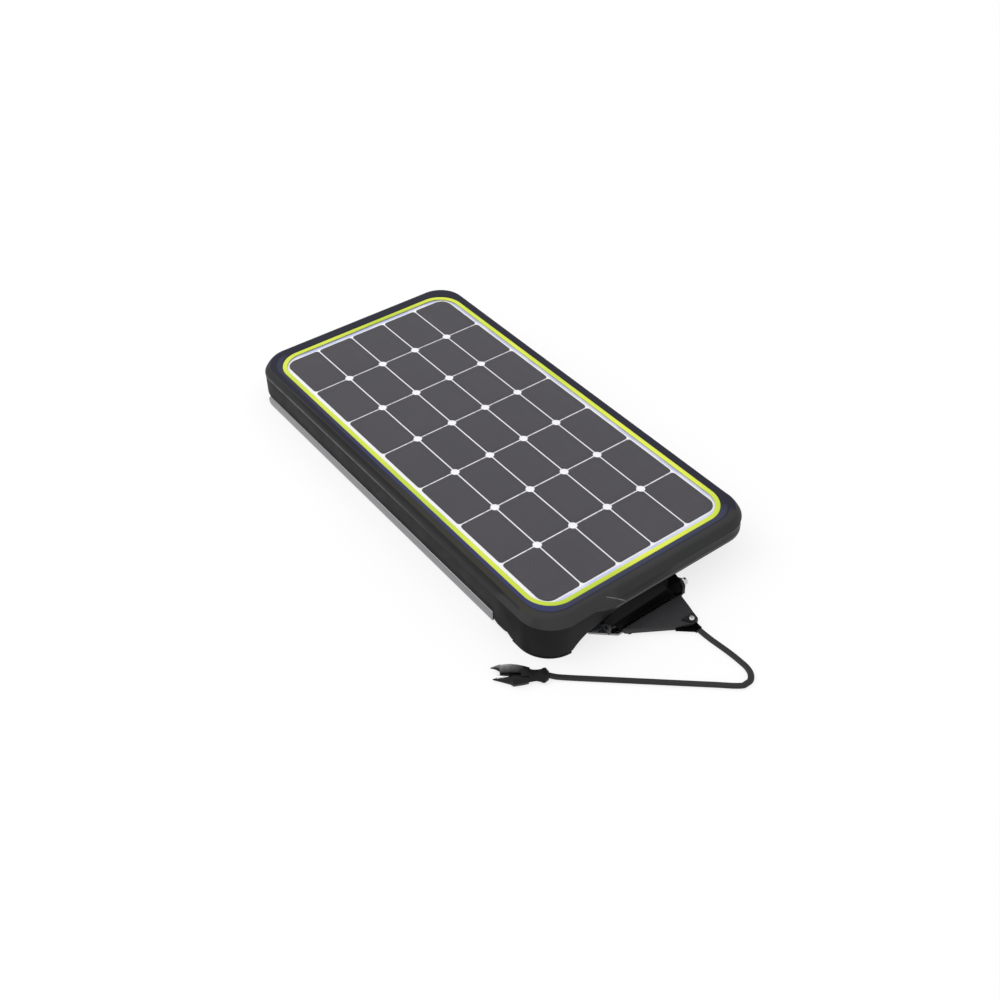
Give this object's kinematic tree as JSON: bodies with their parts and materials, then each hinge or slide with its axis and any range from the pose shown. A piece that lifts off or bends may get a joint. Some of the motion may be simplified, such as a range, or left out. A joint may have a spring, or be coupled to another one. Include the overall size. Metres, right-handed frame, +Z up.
{
  "type": "solar panel",
  "caption": "Flat framed solar panel with a bright trim ring, a fold-out U-shaped stand, a hinged tilt foot at one short edge and a short flat lead with a two-pole plug.",
  "frame": {"origin": "on the ground, under the middle of the whole part without its lead and plug", "axes": "+Z up, +Y along the long side away from the hinged foot, +X across the panel"},
  "size_m": [0.3363, 0.692, 0.052],
  "materials": {
    "frame_plastic": "fine moulded grain, navy charcoal",
    "lime_trim": "satin lime",
    "clear_cover": "clear, faintly textured",
    "solar_cell": "dark grey, smooth under a clear sheet",
    "tinned_ribbon": "tinned",
    "white_film": "white, smooth",
    "foam": "closed-cell foam",
    "shell_plastic": "moulded black",
    "steel": "bright zinc",
    "foot_rubber": "matte",
    "hinge_plastic": "moulded charcoal",
    "black_rubber": "matte black",
    "nylon": "black nylon",
    "terminal_plastic": "moulded",
    "cord_jacket": "smooth flexible jacket",
    "painted_steel": "grey powder coat",
    "black_steel": "black coated, satin",
    "stand_aluminium": "light grey anodised",
    "plate_metal": "light grey, satin",
    "cover_plastic": "dark grey, satin",
    "plug_plastic": "moulded black",
    "contact_metal": "bright plated"
  },
  "bodies": {
    "foot": {"base_plate": "plate_metal", "foot_pads": "foot_rubber", "foot_cover": "cover_plastic", "hinge_ear_left": "black_steel", "hinge_ear_right": "black_steel", "ear_screws": "steel", "pivot_bolt": "black_steel", "pivot_washers": "nylon", "dome_nut": "steel", "cord_clamp": "black_steel", "clamp_screw": "steel", "strain_relief": "black_rubber", "cord": "cord_jacket", "plug_body": "plug_plastic", "plug_contacts": "contact_metal"},
    "panel": {"front_frame": "frame_plastic", "accent_ring": "lime_trim", "cover_glass": "clear_cover", "cell_string_1": "solar_cell", "cell_string_2": "solar_cell", "cell_string_3": "solar_cell", "cell_string_4": "solar_cell", "cell_string_5": "solar_cell", "cell_links": "tinned_ribbon", "encapsulant": "white_film", "backsheet": "white_film", "bus_ribbons": "tinned_ribbon", "string_leads": "tinned_ribbon", "laminate_seal": "foam", "rear_tray": "shell_plastic", "support_foam": "foam", "tray_screws": "steel", "corner_sole": "foot_rubber", "rubber_feet": "foot_rubber", "hinge_housing": "hinge_plastic", "hinge_sleeve": "black_rubber", "hinge_bushes": "nylon", "hinge_screws": "steel", "junction_box": "shell_plastic", "box_seal": "foam", "box_lid": "shell_plastic", "box_screws": "steel", "terminal_block": "terminal_plastic", "bypass_diodes": "terminal_plastic", "panel_cable": "cord_jacket", "stand_brackets": "painted_steel", "bracket_screws": "steel", "stand_pins": "steel", "latch_screw": "steel"},
    "stand": {"stand_rail_left": "stand_aluminium", "stand_rail_right": "stand_aluminium", "rail_caps": "hinge_plastic", "stand_crossbar": "stand_aluminium", "stand_grips": "black_rubber"},
    "latch": {"latch_button": "hinge_plastic"}
  },
  "joints": [
    {"name": "panel_tilt", "type": "hinge", "parent": "foot", "child": "panel", "pos_m": [0, -0.2575, 0.012], "axis": [1, 0, 0], "range_deg": [0, 60]},
    {"name": "stand_swing", "type": "hinge", "parent": "panel", "child": "stand", "pos_m": [0, 0.2675, 0.00825], "axis": [1, 0, 0], "range_deg": [0, 120]},
    {"name": "latch_turn", "type": "hinge", "parent": "panel", "child": "latch", "pos_m": [0, -0.1815, 0.003], "axis": [0, 0, 1], "range_deg": [0, 90]}
  ]
}
